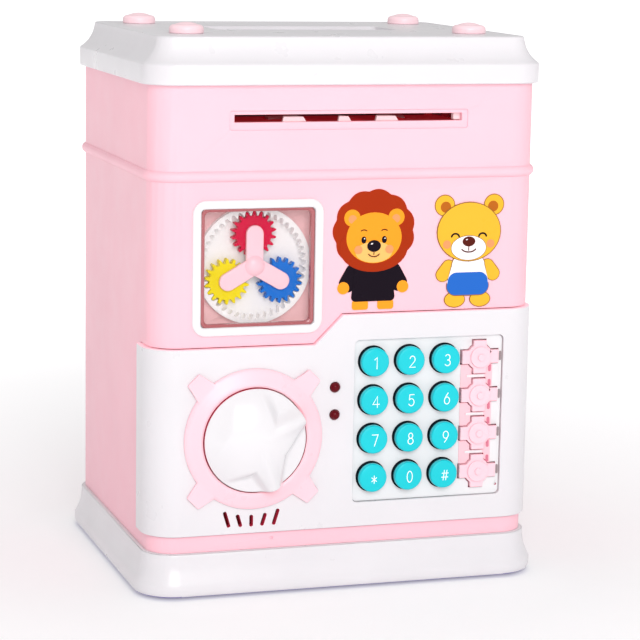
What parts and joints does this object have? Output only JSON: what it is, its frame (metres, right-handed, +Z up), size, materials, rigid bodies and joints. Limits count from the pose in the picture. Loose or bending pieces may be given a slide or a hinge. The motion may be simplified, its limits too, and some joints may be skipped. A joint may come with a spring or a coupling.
{
  "type": "toy safe coin bank",
  "caption": "Box-shaped toy safe with a flared base and cap, keypad door on a side hinge, turning lock knob, note slot, coin slot and a window onto planetary gears.",
  "frame": {"origin": "on the ground plane, at the middle of the overall bounding box seen from above", "axes": "+Z up, -Y out of the front with the door, +X to the right of someone facing the front"},
  "size_m": [0.1302, 0.1142, 0.1736],
  "materials": {
    "pink_shell": "satin moulded plastic",
    "pink_trim": "glossy moulded plastic",
    "white_shell": "satin moulded plastic",
    "white_inner": "matt moulded plastic",
    "gear_bed": "glossy moulded plastic",
    "clear_pane": "clear moulded plastic",
    "aqua_keys": "satin moulded plastic",
    "keypad_grey": "satin moulded plastic",
    "gear_magenta": "glossy moulded plastic",
    "gear_yellow": "glossy moulded plastic",
    "gear_blue": "glossy moulded plastic",
    "lamp_red": "clear dark red plastic",
    "steel": "plated steel",
    "motor_steel": "plated steel can",
    "cell_wrap": "printed foil sleeve",
    "board_green": "solder mask",
    "membrane": "silicone rubber",
    "roller_rubber": "soft rubber",
    "feet_rubber": "soft rubber",
    "black_plastic": "matt moulded plastic",
    "sticker_print": "printed vinyl"
  },
  "bodies": {
    "case": {"base_tray": "white_shell", "rubber_feet": "feet_rubber", "shell_screws": "steel", "batteries": "cell_wrap", "battery_contacts": "steel", "body_shell": "pink_shell", "cap": "white_shell", "cap_plugs": "pink_trim", "coin_chute": "white_inner", "note_guide": "white_inner", "motors": "motor_steel", "window_frame": "white_shell", "window_pane": "clear_pane", "ring_gear": "gear_bed", "power_board": "board_green", "hinge_pins": "steel", "stickers": "sticker_print"},
    "battery_lid": {"battery_cover": "white_shell", "battery_screw": "steel"},
    "switch": {"power_switch": "black_plastic"},
    "reset": {"reset_button": "black_plastic"},
    "feed_roller": {"feed_rollers": "roller_rubber", "feed_shaft": "steel"},
    "pinch_roller": {"pinch_rollers": "white_inner"},
    "feed_pinion": {"motor_pinion": "white_inner"},
    "planet_carrier": {"carrier": "pink_trim"},
    "red_planet": {"planet_red": "gear_magenta"},
    "yellow_planet": {"planet_yellow": "gear_yellow"},
    "blue_planet": {"planet_blue": "gear_blue"},
    "door": {"door_panel": "white_shell", "door_cover": "white_inner", "door_screws": "steel", "knob_ring": "pink_trim", "solenoid": "motor_steel", "led_lenses": "lamp_red", "keypad_panel": "keypad_grey", "key_membrane": "membrane", "key_board": "board_green", "speaker": "black_plastic"},
    "knob": {"knob": "white_shell", "knob_cam": "white_inner"},
    "bolt": {"latch_bolt": "steel"},
    "lock_plunger": {"plunger": "steel"},
    "key_1": {"key_1": "aqua_keys"},
    "key_2": {"key_2": "aqua_keys"},
    "key_3": {"key_3": "aqua_keys"},
    "key_4": {"key_4": "aqua_keys"},
    "key_5": {"key_5": "aqua_keys"},
    "key_6": {"key_6": "aqua_keys"},
    "key_7": {"key_7": "aqua_keys"},
    "key_8": {"key_8": "aqua_keys"},
    "key_9": {"key_9": "aqua_keys"},
    "key_star": {"key_star": "aqua_keys"},
    "key_0": {"key_0": "aqua_keys"},
    "key_hash": {"key_hash": "aqua_keys"},
    "function_key_1": {"function_key_1": "pink_trim"},
    "function_key_2": {"function_key_2": "pink_trim"},
    "function_key_3": {"function_key_3": "pink_trim"},
    "function_key_4": {"function_key_4": "pink_trim"}
  },
  "joints": [
    {"name": "door_swing", "type": "hinge", "parent": "case", "child": "door", "pos_m": [0.06, -0.03595, 0.0527], "axis": [0, 0, 1], "range_deg": [0, 95]},
    {"name": "knob_turn", "type": "hinge", "parent": "door", "child": "knob", "pos_m": [-0.0301, -0.04885, 0.0489], "axis": [0, -1, 0], "range_deg": [0, 85]},
    {"name": "bolt_throw", "type": "slide", "parent": "door", "child": "bolt", "axis": [-1, 0, 0], "range_m": [0, 0.0054]},
    {"name": "plunger_rise", "type": "slide", "parent": "door", "child": "lock_plunger", "axis": [0, 0, 1], "range_m": [0, 0.0025], "stiffness_N_per_m": 20, "springref_m": -0.0004},
    {"name": "key_1_press", "type": "slide", "parent": "door", "child": "key_1", "axis": [0, 1, 0], "range_m": [0, 0.001], "stiffness_N_per_m": 150, "springref_m": -0.0003},
    {"name": "key_2_press", "type": "slide", "parent": "door", "child": "key_2", "axis": [0, 1, 0], "range_m": [0, 0.001], "stiffness_N_per_m": 150, "springref_m": -0.0003},
    {"name": "key_3_press", "type": "slide", "parent": "door", "child": "key_3", "axis": [0, 1, 0], "range_m": [0, 0.001], "stiffness_N_per_m": 150, "springref_m": -0.0003},
    {"name": "key_4_press", "type": "slide", "parent": "door", "child": "key_4", "axis": [0, 1, 0], "range_m": [0, 0.001], "stiffness_N_per_m": 150, "springref_m": -0.0003},
    {"name": "key_5_press", "type": "slide", "parent": "door", "child": "key_5", "axis": [0, 1, 0], "range_m": [0, 0.001], "stiffness_N_per_m": 150, "springref_m": -0.0003},
    {"name": "key_6_press", "type": "slide", "parent": "door", "child": "key_6", "axis": [0, 1, 0], "range_m": [0, 0.001], "stiffness_N_per_m": 150, "springref_m": -0.0003},
    {"name": "key_7_press", "type": "slide", "parent": "door", "child": "key_7", "axis": [0, 1, 0], "range_m": [0, 0.001], "stiffness_N_per_m": 150, "springref_m": -0.0003},
    {"name": "key_8_press", "type": "slide", "parent": "door", "child": "key_8", "axis": [0, 1, 0], "range_m": [0, 0.001], "stiffness_N_per_m": 150, "springref_m": -0.0003},
    {"name": "key_9_press", "type": "slide", "parent": "door", "child": "key_9", "axis": [0, 1, 0], "range_m": [0, 0.001], "stiffness_N_per_m": 150, "springref_m": -0.0003},
    {"name": "key_star_press", "type": "slide", "parent": "door", "child": "key_star", "axis": [0, 1, 0], "range_m": [0, 0.001], "stiffness_N_per_m": 150, "springref_m": -0.0003},
    {"name": "key_0_press", "type": "slide", "parent": "door", "child": "key_0", "axis": [0, 1, 0], "range_m": [0, 0.001], "stiffness_N_per_m": 150, "springref_m": -0.0003},
    {"name": "key_hash_press", "type": "slide", "parent": "door", "child": "key_hash", "axis": [0, 1, 0], "range_m": [0, 0.001], "stiffness_N_per_m": 150, "springref_m": -0.0003},
    {"name": "function_key_1_press", "type": "slide", "parent": "door", "child": "function_key_1", "axis": [0, 1, 0], "range_m": [0, 0.001], "stiffness_N_per_m": 150, "springref_m": -0.0003},
    {"name": "function_key_2_press", "type": "slide", "parent": "door", "child": "function_key_2", "axis": [0, 1, 0], "range_m": [0, 0.001], "stiffness_N_per_m": 150, "springref_m": -0.0003},
    {"name": "function_key_3_press", "type": "slide", "parent": "door", "child": "function_key_3", "axis": [0, 1, 0], "range_m": [0, 0.001], "stiffness_N_per_m": 150, "springref_m": -0.0003},
    {"name": "function_key_4_press", "type": "slide", "parent": "door", "child": "function_key_4", "axis": [0, 1, 0], "range_m": [0, 0.001], "stiffness_N_per_m": 150, "springref_m": -0.0003},
    {"name": "carrier_spin", "type": "hinge", "parent": "case", "child": "planet_carrier", "pos_m": [-0.0289, -0.04385, 0.1013], "axis": [0, -1, 0], "continuous": true},
    {"name": "red_planet_spin", "type": "hinge", "parent": "planet_carrier", "child": "red_planet", "pos_m": [-0.0289, -0.04185, 0.1109], "axis": [0, -1, 0], "continuous": true},
    {"name": "yellow_planet_spin", "type": "hinge", "parent": "planet_carrier", "child": "yellow_planet", "pos_m": [-0.03721, -0.04185, 0.0965], "axis": [0, -1, 0], "continuous": true},
    {"name": "blue_planet_spin", "type": "hinge", "parent": "planet_carrier", "child": "blue_planet", "pos_m": [-0.02059, -0.04185, 0.0965], "axis": [0, -1, 0], "continuous": true},
    {"name": "feed_spin", "type": "hinge", "parent": "case", "child": "feed_roller", "pos_m": [0, -0.03105, 0.1496], "axis": [1, 0, 0], "continuous": true},
    {"name": "pinch_spin", "type": "hinge", "parent": "case", "child": "pinch_roller", "pos_m": [0, -0.03105, 0.1419], "axis": [1, 0, 0], "continuous": true},
    {"name": "pinion_spin", "type": "hinge", "parent": "case", "child": "feed_pinion", "pos_m": [0.0375, -0.02085, 0.1496], "axis": [1, 0, 0], "continuous": true},
    {"name": "battery_lid_lift", "type": "slide", "parent": "case", "child": "battery_lid", "axis": [0, 0, -1], "range_m": [0, 0.02]},
    {"name": "switch_slide", "type": "slide", "parent": "case", "child": "switch", "axis": [1, 0, 0], "range_m": [0, 0.0032]},
    {"name": "reset_press", "type": "slide", "parent": "case", "child": "reset", "axis": [0, 0, -1], "range_m": [0, 0.0008], "stiffness_N_per_m": 150, "springref_m": -0.0003}
  ],
  "couplings": [
    {"joint": "bolt_throw", "follows": "knob_turn", "m_per_rad": 0.0036},
    {"joint": "red_planet_spin", "follows": "carrier_spin", "ratio": -2.5},
    {"joint": "yellow_planet_spin", "follows": "carrier_spin", "ratio": -2.5},
    {"joint": "blue_planet_spin", "follows": "carrier_spin", "ratio": -2.5},
    {"joint": "pinch_spin", "follows": "feed_spin", "ratio": -1.0833},
    {"joint": "pinion_spin", "follows": "feed_spin", "ratio": -1.2667}
  ]
}
